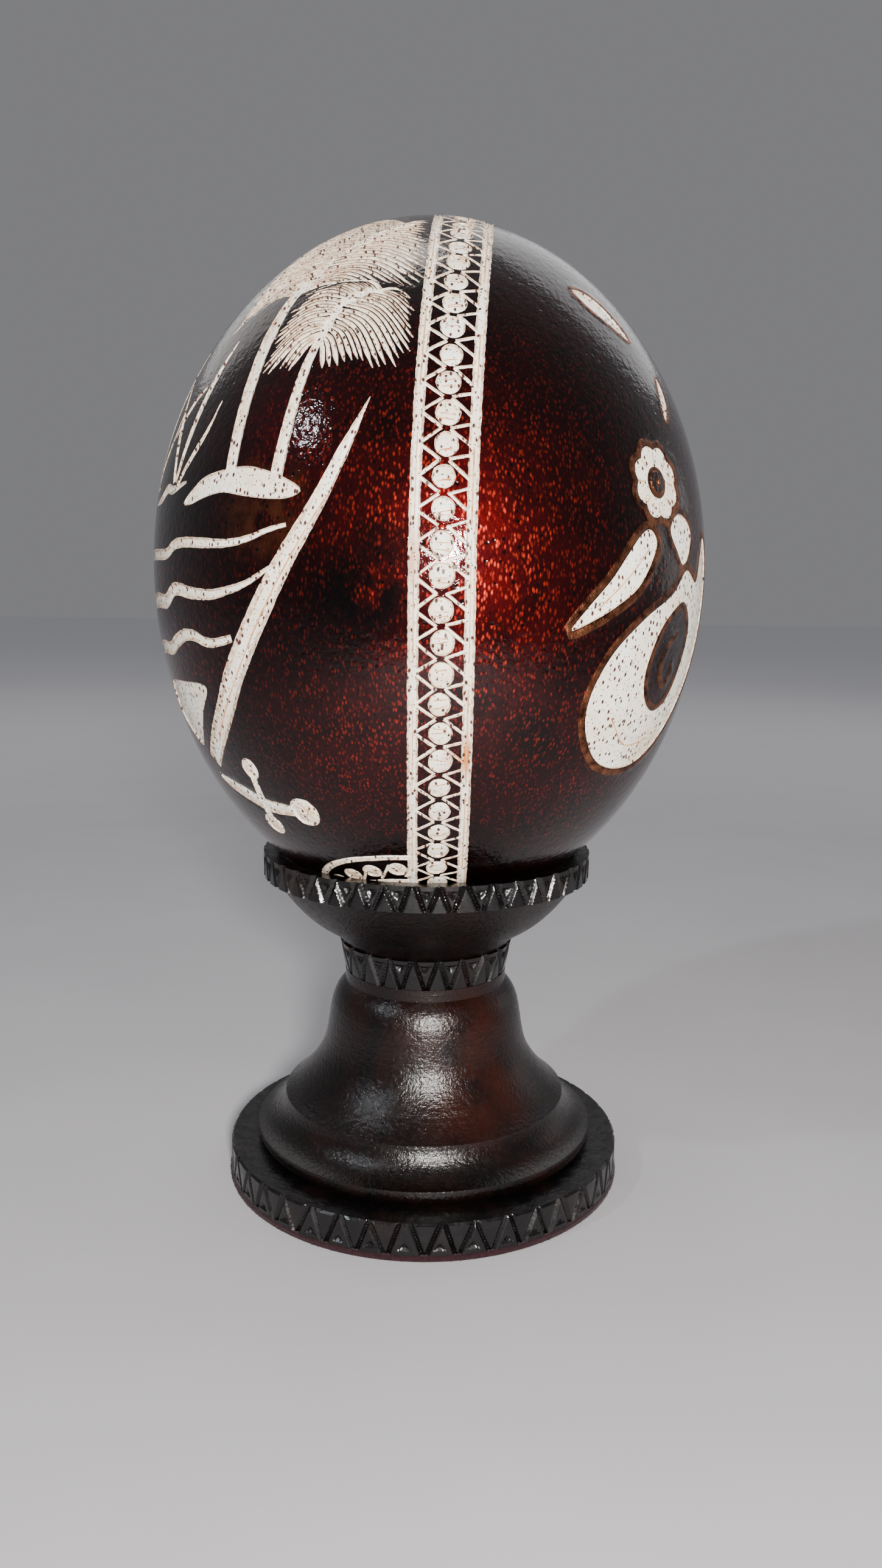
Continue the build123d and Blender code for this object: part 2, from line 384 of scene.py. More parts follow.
def band_straight(start, end):
    """A straight line in the band between (along, across) ends."""
    count = max(int(math.dist(start, end) / BAND_STEP), 2)
    return band_spot(*(np.linspace(a, b, count + 1) for a, b in zip(start, end)))


def band():
    """Two ridged borders stained amber in places, and between them beads parted by splayed cuts."""
    border = BAND_HALF - BORDER / 2
    for side in (-1, 1):
        add(stroke(band_spot(BAND_ALONG, side * border), BORDER, crest=0.75, wander=0.09))
        for start in range(6, int(BAND_ALONG[-1]) - 24, 26):
            amber = band_spot(np.arange(start, start + RANDOM.uniform(10, 24), BAND_STEP), side * border)
            scratch(amber, RANDOM.uniform(0.16, 0.34), 0.1)
    at = 3.4
    while at < BAND_ALONG[-1] - 3:
        bead = at + RANDOM.uniform(-0.25, 0.25)
        centre = band_spot(bead, RANDOM.uniform(-0.2, 0.2))
        add(dot(centre, BEAD_RADIUS * RANDOM.uniform(0.94, 1.04), RANDOM.uniform(1.0, 1.1)))
        for _ in range(RANDOM.randint(1, 3)):
            low = bead + RANDOM.uniform(-1.2, 0.9)
            scratch(band_straight((low, -1.3), (low + RANDOM.uniform(-0.4, 0.7), 1.3)), 0.22)
        gap = at + BEAD_PITCH / 2
        for side, across, up in ((-1, 0.9, 2.75), (-1, 0.9, -2.7), (1, 0.7, 1.2), (1, 0.7, -3.2)):
            near, out = RANDOM.uniform(-0.22, 0.22, 2)
            line = band_straight((gap + near, side * across), (gap + up + out, side * (border - 0.7)))
            add(stroke(line, RANDOM.uniform(0.6, 0.74), wander=0.05))
        at += BEAD_PITCH


PLUME_ARCH = 0.22


def plume(spine, tips, pitch=1.55, width=1.3):
    """Many curved cuts, from a midrib to a ragged row of tips, with slivers of dye left between them."""
    rib = egg_curve(spine, step=0.6)
    edge = even(np.array([EGG.spot(a, w) for a, w in tips]), pitch)
    slivers = []
    for i, tip in enumerate(edge):
        share = i / (len(edge) - 1)
        root = rib[int(round(share * (len(rib) - 1) * 0.92))]
        reach = tip - root
        tip = root + reach * RANDOM.uniform(0.88, 1.04)
        bend = root + reach * 0.5 + np.array([0, 0, np.linalg.norm(reach) * PLUME_ARCH])
        line = EGG.snap(even(smooth(EGG.snap(np.stack([root, bend, tip])), steps=8), 0.95))
        add(stroke(line, [width * 0.45, width * 0.85, width, width * 0.85, 0.2], wander=0.07))
        if i:
            count = min(len(line), len(last))
            split = EGG.snap((line[-count:] + last[-count:]) / 2)
            slivers.append(stroke(split[1:], [0.12, 0.2, 0.26, 0.3], finish=DYED, wander=0.03))
        last = line
    add(*slivers)
    add(stroke(rib, [1.1, 1.0, 0.8, 0.3], crest=0.4))


def pebble(places):
    """A bare shape through (azimuth, height) places."""
    add(patch([egg_curve(places, closed=True)]))


def palms(by):
    """Two palms on an islet, further round the egg by an azimuth."""
    def turned(*places):
        return shifted(places, by)

    blade(turned((-39, 19.5), (-38.7, 35), (-38.5, 45), (-38, 52), (-37.2, 57), (-34.3, 62), (-31.2, 69)),
          [3.0, 3.1, 3.2, 3.2, 2.4, 1.6], crest=0.3)
    blade(turned((-28.2, 16.5), (-26.2, 35), (-25.5, 40), (-24.4, 45), (-22.8, 50), (-21.2, 55.5)),
          [3.0, 2.6, 2.3, 1.8, 1.3], crest=0.3)
    far = turned((-36.5, 58), (-33.5, 64), (-30, 70), (-25, 76), (-18, 81), (-9, 85))
    plume(far, turned((-19, 58.5), (-13, 58.5), (-8, 58.5), (-4.4, 57), (-2.6, 62), (-2.4, 70),
          (-2.8, 78), (-2.9, 86)))
    plume(far, turned((-41, 58.5), (-46.4, 57), (-50.6, 54), (-55.9, 50.2), (-57.4, 57), (-58, 65),
          (-60, 74), (-58, 82), (-45, 90)), 2.0, 1.7)
    near = turned((-24.2, 46), (-22.4, 51.5), (-19.6, 55.5), (-15, 57), (-10.5, 55.8))
    plume(near, turned((-21.7, 38), (-17.5, 39.6), (-14.4, 39.8), (-11.2, 38), (-6.9, 37.6), (-4.9, 40),
          (-4.2, 46), (-4.3, 51), (-5.2, 54.7), (-8, 57)))
    plume(near, turned((-29.5, 39), (-32.5, 38.6), (-36.2, 39.2), (-36.2, 43), (-36, 48.7), (-34.8, 54),
          (-33.6, 57.7), (-26, 60), (-18, 60)))
    pebble(turned((-53.2, 13.5), (-49.6, 16.5), (-45.4, 18.7), (-36, 19.9), (-31, 19.1), (-25.9, 17.2),
           (-22.8, 15), (-25.4, 13.5), (-30, 13.5), (-35.4, 14.2), (-40.6, 15), (-45.9, 14.2),
           (-50.6, 13)))


def sea():
    """Three long waves round the left of the egg."""
    blade([(-160, 5), (-140, 7), (-120, 4.4), (-104, 6.4), (-88, 3.2), (-69.5, 3.4), (-60.6, 3.4),
          (-56.9, 4.9), (-52.7, 5.6), (-40, 5.2), (-33.8, 6), (-29.6, 7.5), (-25.4, 8.6)],
          [0.6, 2.2, 2.5, 2.4, 2.3, 2.4, 2.0, 0.8])
    blade([(-164, -5), (-146, -3), (-128, -6.6), (-110, -4), (-92, -7.6), (-69.5, -6.4), (-61.6, -6.4),
          (-56.4, -3.8), (-49.6, -4.5), (-43.3, -4.7), (-38.5, -3.8), (-33.8, -2.3), (-28.6, 0.7)],
          [0.6, 2.8, 3.2, 3.1, 3.3, 3.3, 2.4, 0.8], crest=0.6)
    blade([(-158, -16), (-140, -13), (-122, -17), (-104, -13.4), (-86, -18), (-69.5, -16.5),
          (-62.7, -16.5), (-58, -14.6), (-53.8, -13.2), (-50, -13.2), (-46.4, -14.3), (-43.3, -14.3),
          (-38.5, -13.2)], [0.6, 2.6, 3.0, 2.8, 3.0, 2.9, 1.6])


def reeds(by):
    """A reed tuft on a mound of water."""
    for places, width in (
            ([(-58.5, 18), (-55.3, 30), (-52.7, 39), (-49.8, 48)], [1.2, 2.0, 2.0, 0.4]),
            ([(-55.4, 38), (-60, 34.5), (-65.5, 28)], [0.8, 1.5, 0.3]),
            ([(-59.4, 18), (-63, 30), (-68.5, 41)], [1.2, 1.9, 0.3]),
            ([(-57.6, 17), (-49.5, 27), (-46.5, 34)], [1.0, 1.5, 0.3]),
            ([(-72, 14), (-66.9, 15), (-62.7, 16.9), (-59, 16.5), (-53.2, 17.8)],
             [0.4, 1.8, 2.2, 1.6, 0.5])):
        blade(shifted(places, by), width)


def long_leaf():
    blade([(-11.3, 32.6), (-13.5, 27), (-17, 18.5), (-20.5, 11), (-26, 1.5), (-32, -9), (-39, -20),
          (-45, -29), (-53, -37.5), (-58, -42)], [0.2, 2.4, 3.3, 4.2, 5.0, 5.3, 5.3, 5.0, 4.0],
          crest=0.45)
    blade([(-18, 14), (-26.5, -0.5), (-38, -19.5), (-51.5, -36.5)], 0.34, depth=0.33, finish=STAIN,
          wander=0.03)
    pebble([(-70, -24.4), (-58, -23.4), (-49.3, -24), (-53.8, -30), (-60, -37.5), (-62.2, -38.6),
           (-66.4, -36), (-71.5, -31)])


def bud(azimuth, w, radius, hatches=2):
    """A round bud with thin lines scratched across it."""
    add(dot(EGG.spot(azimuth, w), radius, 1.1))
    for i in range(hatches):
        tilt = math.pi * (0.5 + 0.28 * (i - (hatches - 1) / 2))
        ends = [petal_spot(azimuth, w, radius * 0.72, tilt + s) for s in (-0.25, math.pi + 0.25)]
        scratch(EGG.snap(even(np.array(ends), 0.7)), 0.24)


def sprig(by):
    blade(shifted([(-59.5, -45.8), (-54.8, -47.6), (-48.5, -49.5), (-43.3, -51.4), (-38, -51.8),
          (-33.8, -51.8)], by), [1.6, 3.4, 4.0, 4.0, 3.6, 3.0], crest=0.5)
    blade(shifted([(-42.9, -43), (-43.6, -49), (-44.4, -56)], by), [1.9, 2.3, 2.0])
    bud(-30.7 + by, -51.8, 3.5, hatches=4)
    bud(-42.9 + by, -42, 2.4)
    bud(-44.7 + by, -57.2, 2.7)


def low_band():
    """The smaller beaded band that leaves the tall one near the cup."""
    for border in ([(-3, -63.4), (-12, -64), (-22, -65.6), (-30, -68.2), (-37, -72), (-44, -77)],
                   [(-3, -72.8), (-14, -73.6), (-26, -76.2), (-36, -80), (-44, -84)]):
        blade(border, 1.7, BAND_STEP, crest=0.6)
    for azimuth, w in [(-9, -68.2), (-17.5, -69.6), (-25.5, -72), (-33, -75.6), (-39, -80)]:
        bud(azimuth, w, 2.2)
        for s in (-1, 1):
            blade([(azimuth + 4.2 - 2 * s, w - 3.0 * s), (azimuth + 4.2 + 2 * s, w + 3.0 * s)], 0.7,
                  wander=0.04)


GOLD_IN_HOLE = 1.3
GOLD_DEPTH = -0.09


def gilded(outer, holes=(), line=1.6):
    """A bare shape with a gold line round it, and gold lines inside its holes."""
    shape = egg_curve(outer, closed=True)
    inner = [egg_curve(hole, closed=True, step=0.7) for hole in holes]
    add(patch([shape, *inner], depth=0.24))
    add(gold([widened(shape, line), shape]), painted_shadow_line(shape))
    for loop in inner:
        add(gold([loop, widened(loop, -GOLD_IN_HOLE)]), painted_shadow_line(loop))


def painted_shadow_line(loop):
    """A thin line of dyed shell left where the gold meets bare shell, as a painted shadow along the cut's
    edge.
    """
    return stroke(np.concatenate([loop, loop[:2]]), 0.2, finish=DYED, wander=0.03)


def gold(loops):
    return patch(loops, depth=GOLD_DEPTH, wall=0.35, finish=GILT)


def petals(azimuth, w, radius, count, swell):
    """A scalloped loop about a place."""
    angle = np.linspace(0, 2 * math.pi, count * 8, endpoint=False)
    reach = radius * (1 + swell * np.abs(np.sin(count * angle / 2)))
    return oval(EGG.spot(azimuth, w), math.radians(azimuth), w, angle, reach, reach)


def petal_spot(azimuth, w, reach, angle):
    """A point beside a place, at a distance and an angle from east."""
    east, north = compass(math.radians(azimuth), w)
    return EGG.spot(azimuth, w) + reach * (math.cos(angle) * east + math.sin(angle) * north)


def rosette(azimuth, w, scale=1.0, count=8):
    """A bare flower edged with gold, with a gold ring at its heart and a scratch in each petal."""
    shape = petals(azimuth, w, 6.6 * scale, count, 0.16)
    add(patch([shape], depth=0.24))
    add(gold([petals(azimuth, w, 8.1 * scale, count, 0.15), shape]), painted_shadow_line(shape))
    ring = petals(azimuth, w, 3.2 * scale, 6, 0)
    add(patch([ring], depth=0.0, finish=DYED))
    add(gold([ring, petals(azimuth, w, 2.1 * scale, 6, 0)]))
    add(gold([petals(azimuth, w, 0.8 * scale, 3, 0)]))
    for k in range(count):
        angle = 2 * math.pi * k / count
        ends = [petal_spot(azimuth, w, reach * scale, angle) for reach in (4.0, 6.2)]
        scratch(EGG.snap(even(np.array(ends), 0.6)), 0.3, 0.32)


LEAF = [(45.6, 7.0), (44.6, 3.6), (40.8, -2.1), (36, -5.6), (31, -8.4), (25.4, -10.7), (28.4, -6.4),
        (33.6, -0.7), (37, 3.6), (40.8, 7.9), (43.6, 9.2)]
BUD = [(50.4, 9.2), (53.4, 12.6), (57.4, 11.8), (59.7, 9.0), (58.6, 5.0), (55.8, 2.2), (53, 5.0)]
PAISLEY = [(57.5, 1.4), (52, -3.4), (43.6, -8), (36.3, -14.3), (32.4, -21.4), (31.6, -28), (34, -34.3),
           (39, -39.3), (46.3, -41.4), (53.6, -40.7), (60.2, -37), (66, -30), (70.6, -20), (73, -8),
           (73.4, 3), (70, 8.6), (66.4, 4.6), (63.4, -1)]
EYE = [(57.6, -5.4), (52.6, -7.2), (48.4, -11.6), (46.1, -19), (47.8, -25), (52.6, -28.2), (57.6, -26),
       (60.4, -19.6), (61.6, -11)]
CURL = [(56.2, -11.6), (52.4, -14.6), (51.2, -19.4), (53.4, -22.6), (56.2, -20.8), (55.6, -17.6)]
CREST_LEAF = [(40.6, 61.6), (42.4, 57.6), (47, 54), (54, 50.2), (52, 56), (47.4, 60.6)]
SLIM_LEAF = [(60.8, 42.4), (60.4, 37), (56.2, 32), (57.6, 38)]


def garden(mirror):
    """The gilded panel on the right; mirrored, it fills the back."""
    def side(places):
        return shifted(places, 90, flip=True) if mirror else places

    gilded(side(LEAF))
    gilded(side(BUD), line=1.2)
    gilded(side(PAISLEY), [side(EYE)])
    blade(side(CURL), [1.0, 1.5, 1.7, 1.6, 1.0], 0.6, depth=GOLD_DEPTH, finish=GILT)
    gilded(side(CREST_LEAF), line=1.2)
    gilded(side(SLIM_LEAF), line=1.0)
    rosette(side([(47.3, 18.6)])[0][0], 18.6)
    for places in ([(43.6, 5.4), (38.6, 0.2), (31, -6.6)], [(39, -29), (46, -35.6), (55, -35)]):
        scratch(egg_curve(side(places), step=0.7), 0.3, 0.31)


def vine():
    """An upright stem of paired leaves at the right, between the two gilded panels."""
    blade([(90, 22), (91.5, 40), (89, 58), (90, 74)], [0.9, 1.4, 1.2, 0.3], crest=0.5)
    for i, w in enumerate((30, 41, 52, 62)):
        size = 1 - 0.13 * i
        for s in (-1, 1):
            tip = 11.5 * size / math.cos(w / 90)
            blade([(90.5 + s * 0.8, w), (90.5 + s * tip * 0.55, w + 5.6 * size),
                  (90.5 + s * tip, w + 6.4 * size)], [0.6, 3.0 * size, 2.6 * size, 0.2], crest=0.4)
    rosette(90, 6, 0.62, 6)
    for s in (-1, 1):
        blade([(90 + s * 1, -46), (90 + s * 8, -40), (90 + s * 9, -30)], [0.6, 2.4, 0.3], crest=0.4)
        blade([(90 + s * 1, -60), (90 + s * 12, -56), (90 + s * 19, -48)], [0.6, 2.6, 0.3], crest=0.4)
    blade([(90, -66), (90, -48), (90, -26)], [1.2, 1.4, 0.3], crest=0.5)


LOW_RING_SIDES = 72


def far_side():
    """What the left picture carries on with, round the back, and the ring about the blow hole."""
    blade([(-118, 32), (-122, 24), (-131, 8), (-142, -10), (-152, -28), (-158, -42)],
          [0.2, 3.0, 4.6, 5.2, 5.0, 3.6], crest=0.45)
    for azimuth, w in ((-82, 58), (-88, 44)):
        blade([(azimuth - 7, w + 3), (azimuth - 3, w + 4.6), (azimuth, w + 2), (azimuth + 3, w + 4.6),
              (azimuth + 7, w + 3)], [0.2, 1.5, 0.9, 1.5, 0.2])
    pebble([(-122, -26), (-108, -23), (-94, -25), (-90, -30), (-98, -36), (-112, -37), (-122, -33)])
    for k in range(7):
        lean = (k - 3) * 4.2
        blade([(-102 + lean * 0.2, -62), (-102 + lean * 0.6, -52), (-102 + lean * 1.5,
              -42 - abs(lean) * 0.25)], [0.9, 1.7, 0.2])
    edge = EGG.place(circle(LOW_RING_SIDES), BAND_END - 1.0)
    add(stroke(np.concatenate([edge, edge[:2]]), 1.6, crest=0.5))


low_band()
palms(0)
palms(-102)
sea()
reeds(0)
reeds(-18)
long_leaf()
sprig(0)
sprig(-92)
garden(False)
garden(True)
vine()
far_side()
band()


# ---- meshes

SKIN_STEP = 1.5
WALL_TOP = 0.03
CLEAR_OF_CUTS = 0.55
HOLE_RADIUS = 5.0
HOLE_SIDES = 96
SHELL = 2.0
LINING_ROWS = 29
SMOOTH_BELOW = math.radians(24)


def inside(points, loops):
    """Which points on the plane map lie inside the loops, counting an island as outside."""
    result = np.zeros(len(points), bool)
    x, y = points[:, 0], points[:, 1]
    for loop in loops:
        for (ax, ay), (bx, by) in zip(loop, np.roll(loop, -1, 0)):
            crosses = (ay > y) != (by > y)
            if crosses.any():
                result ^= crosses & (x < ax + (y - ay) * (bx - ax) / (by - ay))
    return result


def skin_points(lowest):
    """Even background points over the egg, in rings from near its top to the blow hole."""
    rings = [np.array([[0.0, EGG.w[-1] - 0.01]])]
    for w in np.arange(EGG.w[-1] - SKIN_STEP, lowest + SKIN_STEP * 0.6, -SKIN_STEP):
        r = np.interp(w, EGG.w, EGG.r)
        count = max(int(2 * math.pi * r / SKIN_STEP), 6)
        turn = (np.arange(count) + RANDOM.uniform(0, 1)) * 2 * math.pi / count
        rings.append(np.stack([turn, np.full(count, w)], -1))
    return np.concatenate(rings)


def engraved(cuts):
    """The egg's outside with every cut in it: points, triangles and the finish of each triangle."""
    hole = np.interp(HOLE_RADIUS, EGG.r[:EGG.r.argmax()], EGG.w[:EGG.r.argmax()])
    spots, edges, maps = [], [], []

    def chart(line):
        return EGG.flat(*EGG.onto(line))

    def take(line, closed):
        base = sum(len(s) for s in spots)
        spots.append(chart(line))
        index = np.arange(len(line)) + base
        edges.extend(zip(index[:-1], index[1:]))
        if closed:
            edges.append((index[-1], index[0]))

    take(EGG.place(circle(HOLE_SIDES), hole), True)
    solid = []
    for cut in cuts:
        for loop in cut.loops:
            take(loop, True)
            solid.append(loop)
        for line in cut.lines:
            take(line, False)
            solid.append(line)
        maps.append([chart(loop) for loop in cut.loops])
    tree = KDTree(sum(len(line) for line in solid))
    for i, spot in enumerate(np.concatenate(solid)):
        tree.insert(spot, i)
    tree.balance()
    back = skin_points(hole)
    near = [tree.find(spot)[2] for spot in EGG.place(back[:, 0], back[:, 1])]
    back = back[np.array(near) > CLEAR_OF_CUTS]
    spots.append(EGG.flat(back[:, 0], back[:, 1]))
    flat = [Vector(p) for p in np.concatenate(spots)]
    made = delaunay_2d_cdt(flat, [(int(a), int(b)) for a, b in edges], [], 0, 1e-7, False)
    uv = np.array([tuple(v) for v in made[0]])
    tris = np.array([tuple(f) for f in made[2] if len(f) == 3])
    turn, w = EGG.unflat(uv)
    points = EGG.place(turn, w)
    finish = np.full(len(tris), DYED)
    depth = np.zeros(len(points))
    middle = uv[tris].mean(1)
    for cut, loops in zip(cuts, maps):
        edge = np.concatenate(loops)
        low, high = edge.min(0), edge.max(0)
        there = np.flatnonzero(((middle >= low) & (middle <= high)).all(1))
        there = there[inside(middle[there], loops)]
        finish[there] = cut.finish
        touched = np.unique(tris[there])
        if len(touched) and cut.finish != DYED:
            new = cut.depth_at(points[touched])
            depth[touched] = np.where(np.abs(new) > np.abs(depth[touched]), new, depth[touched])
    depth[np.unique(tris[finish == DYED])] = 0
    # Walls of bare cuts take a darker material that holds painted shade.
    finish[(finish == BARE) & (depth[tris].min(1) < WALL_TOP)] = WALL
    points -= EGG.normal(turn, w) * depth[:, None]
    cross = np.cross(points[tris[:, 1]] - points[tris[:, 0]], points[tris[:, 2]] - points[tris[:, 0]])
    flip = (cross * EGG.normal(turn[tris[:, 0]], w[tris[:, 0]])).sum(1) < 0
    tris[flip] = tris[flip][:, ::-1]
    return points, tris, finish


def lining(hole_ring, start):
    """The shell's cut wall at the blow hole and its inside: points, and quads joined on to a ring."""
    radius, height = EGG.profile(np.linspace(-math.pi / 2, math.pi / 2, LINING_ROWS), SHELL)
    first = np.flatnonzero(radius > HOLE_RADIUS)[0]
    radius = np.r_[HOLE_RADIUS, radius[first:-1]]
    height = np.r_[height[first] - 0.1, height[first:-1]]
    rings = [round_z(circle(HOLE_SIDES), r, z) for r, z in zip(radius, height)]
    top = np.array([[0, 0, EGG.middle + EGG.RISE - SHELL]])
    points = np.concatenate(rings + [top])
    faces = []
    rows = [hole_ring] + [start + HOLE_SIDES * i + np.arange(HOLE_SIDES) for i in range(len(rings))]
    for a, b in zip(rows[:-1], rows[1:]):
        faces += quads(a, b)
    last = rows[-1]
    faces += [(p, q, start + len(points) - 1) for p, q in zip(last, np.roll(last, -1))]
    return points, faces


def show(name, data):
    """A new object in the scene."""
    obj = bpy.data.objects.new(name, data)
    bpy.context.scene.collection.objects.link(obj)
    return obj


def piece(name, points, faces, finishes, materials, body, replaces):
    """A shown mesh that rides on a body and stands for CAD nodes. finishes picks each face's material."""
    mesh = bpy.data.meshes.new(name)
    mesh.from_pydata((np.asarray(points) * MM).tolist(), [], [tuple(int(i) for i in f) for f in faces])
    for material in materials:
        mesh.materials.append(material)
    mesh.polygons.foreach_set("material_index", np.full(len(faces), finishes, np.int32))
    mesh.polygons.foreach_set("use_smooth", np.ones(len(faces), bool))
    mesh.set_sharp_from_angle(angle=SMOOTH_BELOW)
    mesh.validate()
    obj = show(name, mesh)
    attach(obj, body)
    if replaces:
        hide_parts(*replaces)
    return obj


# ---- materials

DYE_IN_PORES = (0.05, 0.014, 0.010)


class Finish:
    """Builds one procedural material, with sizes given in millimetres."""

    def __init__(self, name, **values):
        self.material = bpy.data.materials.new(name)
        self.material.use_nodes = True
        self.tree = self.material.node_tree
        self.shader = self.tree.nodes["Principled BSDF"]
        self.where = self.add("ShaderNodeTexCoord").outputs["Object"]
        self.set(**values)

    def set(self, **values):
        self.fill(self.shader, values)

    def fill(self, node, values):
        for name, value in values.items():
            self.put(node.inputs[name.replace("_", " ")], value)

    def put(self, socket, value):
        if isinstance(value, bpy.types.NodeSocket):
            self.tree.links.new(value, socket)
        else:
            socket.default_value = value

    def add(self, kind, settings=(), **inputs):
        node = self.tree.nodes.new(kind)
        for name in settings:
            setattr(node, name, settings[name])
        self.fill(node, inputs)
        return node

    def stretched(self, upright, level=1):
        """Places for a pattern, with its scale upwards and on the level."""
        return self.add("ShaderNodeMapping", Vector=self.where,
                        Scale=(level, level, upright)).outputs["Vector"]

    def noise(self, size, detail=3.0, rough=0.55, where=None):
        return self.add("ShaderNodeTexNoise", Vector=where or self.where, Scale=1 / (size * MM),
                        Detail=detail, Roughness=rough).outputs["Fac"]

    def cells(self, size, where=None):
        """Distance to the nearest of scattered points, in cell sizes."""
        return self.add("ShaderNodeTexVoronoi", Vector=where or self.where,
                        Scale=1 / (size * MM)).outputs["Distance"]

    def band(self, value, low, high, bottom=0.0, top=1.0):
        """A value's rise from low to high, as one from bottom to top."""
        return self.add("ShaderNodeMapRange", {"clamp": True}, Value=value, From_Min=low, From_Max=high,
                        To_Min=bottom, To_Max=top).outputs["Result"]

    def cloud(self, size, detail, *ends, rough=0.55):
        """Patches of noise, with the ends that band takes."""
        return self.band(self.noise(size, detail, rough), *ends)

    def maths(self, how, a, b):
        node = self.add("ShaderNodeMath", {"operation": how})
        self.put(node.inputs[0], a)
        self.put(node.inputs[1], b)
        return node.outputs[0]

    def times(self, a, b):
        return self.maths("MULTIPLY", a, b)

    def most(self, a, b):
        return self.maths("MAXIMUM", a, b)

    def mix(self, share, a, b):
        node = self.add("ShaderNodeMix", {"data_type": "RGBA"}, Factor=share)
        for socket, value in ((node.inputs[6], a), (node.inputs[7], b)):
            self.put(socket, value if isinstance(value, bpy.types.NodeSocket) else (*value, 1.0))
        return node.outputs[2]

    def near(self, centre, radius):
        """1 at a place in millimetres, falling to 0 at a radius from it."""
        node = self.add("ShaderNodeVectorMath", {"operation": "DISTANCE"})
        self.put(node.inputs[0], self.where)
        self.put(node.inputs[1], [c * MM for c in centre])
        return self.band(node.outputs["Value"], radius * 0.25 * MM, radius * MM, 1.0, 0.0)

    def bump(self, height, distance, strength=1.0):
        node = self.add("ShaderNodeBump", Height=height, Distance=distance * MM, Strength=strength)
        linked = self.shader.inputs["Normal"].links
        if linked:
            self.put(node.inputs["Normal"], linked[0].from_socket)
        self.put(self.shader.inputs["Normal"], node.outputs["Normal"])


def dyed_shell():
    """Dark red dye under a clear lacquer whose skin follows the pores, with a painted glow and small
    bright flecks painted as glints.
    """
    f = Finish("dyed_lacquer", Metallic=1.0, Roughness=0.48, Coat_Weight=1.0, Coat_Roughness=0.07,
               Coat_IOR=1.34)
    cloud = f.cloud(24, 4, 0.38, 0.64)
    warm = f.mix(cloud, (0.004, 0.0005, 0.0006), (0.017, 0.0006, 0.0009))
    # Painted glow: broad redder patches where a lamp would light the shell, at the front and round the
    # egg.
    painted_glow = f.near(EGG.spot(8, -4), 62)
    for place in ((92, 8), (150, -30), (196, 40), (-128, -8)):
        painted_glow = f.most(painted_glow, f.times(f.near(EGG.spot(*place), 58), 0.75))
    for place in ((-14, -33), (34, -34), (-62, -20)):
        painted_glow = f.most(painted_glow, f.near(EGG.spot(*place), 34))
    painted_light = f.band(painted_glow, 0, 1, 0.14, 1.0)
    painted_glow = f.times(painted_glow, f.cloud(9, 4, 0.32, 0.68))
    warm = f.mix(painted_glow, warm, (0.034, 0.0008, 0.0010))
    # Painted glints: small bright red flecks, shown only inside the painted glow.
    painted_glint = f.band(f.cells(0.62, f.stretched(0.45)), 0.46, 0.12)
    patches = f.cloud(2.2, 4, 0.38, 0.66, rough=0.65)
    painted_glint = f.times(f.times(painted_glint, patches), painted_light)
    warm = f.mix(painted_glint, warm, (0.40, 0.028, 0.012))
    soot = f.times(f.near(EGG.spot(-11, -3), 22), f.cloud(8, 3, 0.28, 0.5))
    warm = f.mix(soot, warm, (0.002, 0.0008, 0.0008))
    amber = f.times(f.near(EGG.spot(-31, 11), 13), f.cloud(5, 3, 0.4, 0.6))
    warm = f.mix(amber, warm, (0.09, 0.022, 0.006))
    pits = f.band(f.cells(2.2), 0.1, 0.22)
    f.set(Base_Color=f.mix(pits, (0.002, 0.0006, 0.0006), warm))
    f.bump(f.noise(1.5, 3), 0.13, 0.9)
    f.bump(pits, 0.06, 0.5)
    f.put(f.shader.inputs["Coat Normal"], f.shader.inputs["Normal"].links[0].from_socket)
    return f.material


def pores(f):
    """0 in the dark pores of the shell, which run in short upright streaks, and 1 between them."""
    streaks = f.band(f.cells(1.1, f.stretched(0.6)), 0.2, 0.31)
    return f.maths("MINIMUM", streaks, f.band(f.cells(0.75), 0.12, 0.22))


def bare_shell():
    f = Finish("engraved_shell", Roughness=0.45, Specular_IOR_Level=0.4)
    ivory = f.mix(f.cloud(14, 3, 0.35, 0.65), (0.80, 0.70, 0.55), (0.90, 0.87, 0.79))
    ivory = f.mix(f.cloud(2.2, 4, 0.54, 0.74, 0, 0.65, rough=0.7), ivory, (0.62, 0.44, 0.27))
    amber = f.most(f.near(EGG.spot(-6.5, 3), 8), f.near(EGG.spot(8, -36), 6))
    ivory = f.mix(amber, ivory, (0.50, 0.17, 0.035))
    pore = pores(f)
    f.set(Base_Color=f.mix(pore, DYE_IN_PORES, ivory))
    f.bump(pore, 0.14, 0.8)
    f.bump(f.noise(0.7, 3, 0.6, f.stretched(0.5)), 0.09, 0.8)
    return f.material


def mottled(name, tones, bump, gloss=None, **values):
    """A material with patches of two tones and a fine bump."""
    f = Finish(name, **values)
    size, detail, dark, light = tones
    f.set(Base_Color=f.mix(f.cloud(size, detail, 0.35, 0.65), dark, light))
    if gloss:
        f.set(Roughness=f.cloud(gloss[0], 3, 0.3, 0.7, *gloss[1:]))
    f.bump(f.noise(*bump[:2]), *bump[2:])
    return f.material


def shaded_cut_wall():
    """The sloping side of a cut, in darker cream: partly dye crept into the shell, partly painted shade in
    the cut.
    """
    f = Finish("dye_and_shade_cut", Roughness=0.5)
    shaded_cream = f.mix(f.cloud(1.1, 3, 0.38, 0.66), (0.46, 0.30, 0.20), (0.82, 0.71, 0.56))
    f.set(Base_Color=f.mix(pores(f), DYE_IN_PORES, shaded_cream))
    f.bump(f.noise(0.4, 2), 0.05, 0.6)
    return f.material


WOOD_DARK = 0.0012, 0.0006, 0.0005
WOOD_TONE = 0.0044, 0.0011, 0.0008
# The orange-brown of patches in the wood, also used for a painted glow on the bell.
WOOD_ORANGE_AND_GLOW = 0.024, 0.0042, 0.0013


